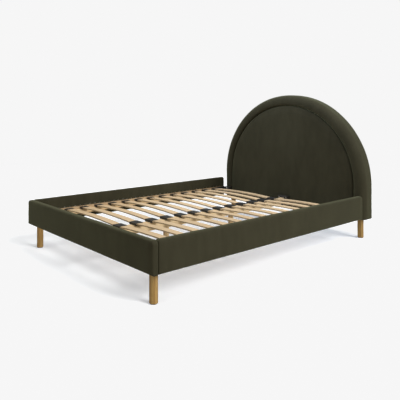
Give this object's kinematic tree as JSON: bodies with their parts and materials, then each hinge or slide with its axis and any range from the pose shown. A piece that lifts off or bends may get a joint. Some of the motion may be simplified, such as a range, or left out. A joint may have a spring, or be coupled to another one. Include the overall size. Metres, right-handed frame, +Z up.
{
  "type": "upholstered bed frame",
  "caption": "Upholstered bed frame with a padded half-moon headboard, padded side and foot panels, round oak legs and a two-row sprung slat base.",
  "frame": {"origin": "on the floor under the centre of the bed's outline", "axes": "+Z up, +Y from the foot of the bed to the headboard, +X to the right as seen from the foot, across the bed's symmetry plane"},
  "size_m": [1.44, 2.09, 1.086],
  "materials": {
    "velvet": "short-pile velvet, dark olive green",
    "back_lining": "plain dark olive cloth",
    "foam": "open-cell upholstery foam",
    "oak": "clear satin lacquer on straight-grained oak",
    "birch_slat": "bonded birch veneer, satin",
    "board": "raw particle board and plywood",
    "softwood": "planed pine",
    "black_plastic": "fine-textured black",
    "felt": "pressed brown felt",
    "black_steel": "black powder coat",
    "zinc_steel": "bright zinc plate"
  },
  "bodies": {
    "bed_frame": {"centre_leg_sleeves": "zinc_steel", "centre_legs": "softwood", "centre_rail": "softwood", "centre_rail_hangers": "black_steel", "centre_slat_holders": "black_plastic", "felt_pads": "felt", "foot_corner_brackets": "black_steel", "foot_left_leg": "oak", "foot_right_leg": "oak", "footboard_core": "board", "footboard_cover": "velvet", "footboard_foam": "foam", "frame_bolts": "zinc_steel", "hanger_screws": "zinc_steel", "head_corner_brackets": "black_steel", "head_left_leg": "oak", "head_right_leg": "oak", "headboard_arch_rim": "board", "headboard_back_board": "board", "headboard_back_cover": "back_lining", "headboard_border_cover": "velvet", "headboard_border_foam": "foam", "headboard_bottom_cover": "velvet", "headboard_bottom_rail": "softwood", "headboard_cross_rails": "softwood", "headboard_face_board": "board", "headboard_mounting_blocks": "softwood", "headboard_panel_cover": "velvet", "headboard_panel_foam": "foam", "headboard_posts": "softwood", "headboard_studs": "softwood", "ledger_screws": "zinc_steel", "left_side_core": "board", "left_side_cover": "velvet", "left_side_foam": "foam", "leg_studs": "zinc_steel", "outer_slat_holders": "black_plastic", "right_side_core": "board", "right_side_cover": "velvet", "right_side_foam": "foam", "slat_ledgers": "softwood", "slat_pair_01": "birch_slat", "slat_pair_02": "birch_slat", "slat_pair_03": "birch_slat", "slat_pair_04": "birch_slat", "slat_pair_05": "birch_slat", "slat_pair_06": "birch_slat", "slat_pair_07": "birch_slat", "slat_pair_08": "birch_slat", "slat_pair_09": "birch_slat", "slat_pair_10": "birch_slat", "slat_pair_11": "birch_slat", "slat_pair_12": "birch_slat", "slat_pair_13": "birch_slat", "slat_pair_14": "birch_slat", "threaded_inserts": "zinc_steel"},
    "screw_foot_1": {"screw_foot_1_stud": "zinc_steel", "screw_foot_1_disc": "black_plastic"},
    "screw_foot_2": {"screw_foot_2_stud": "zinc_steel", "screw_foot_2_disc": "black_plastic"}
  },
  "joints": [
    {"name": "screw_foot_1_height", "type": "slide", "parent": "bed_frame", "child": "screw_foot_1", "axis": [0, 0, 1], "range_m": [-0.01, 0.01]},
    {"name": "screw_foot_2_height", "type": "slide", "parent": "bed_frame", "child": "screw_foot_2", "axis": [0, 0, 1], "range_m": [-0.01, 0.01]}
  ]
}
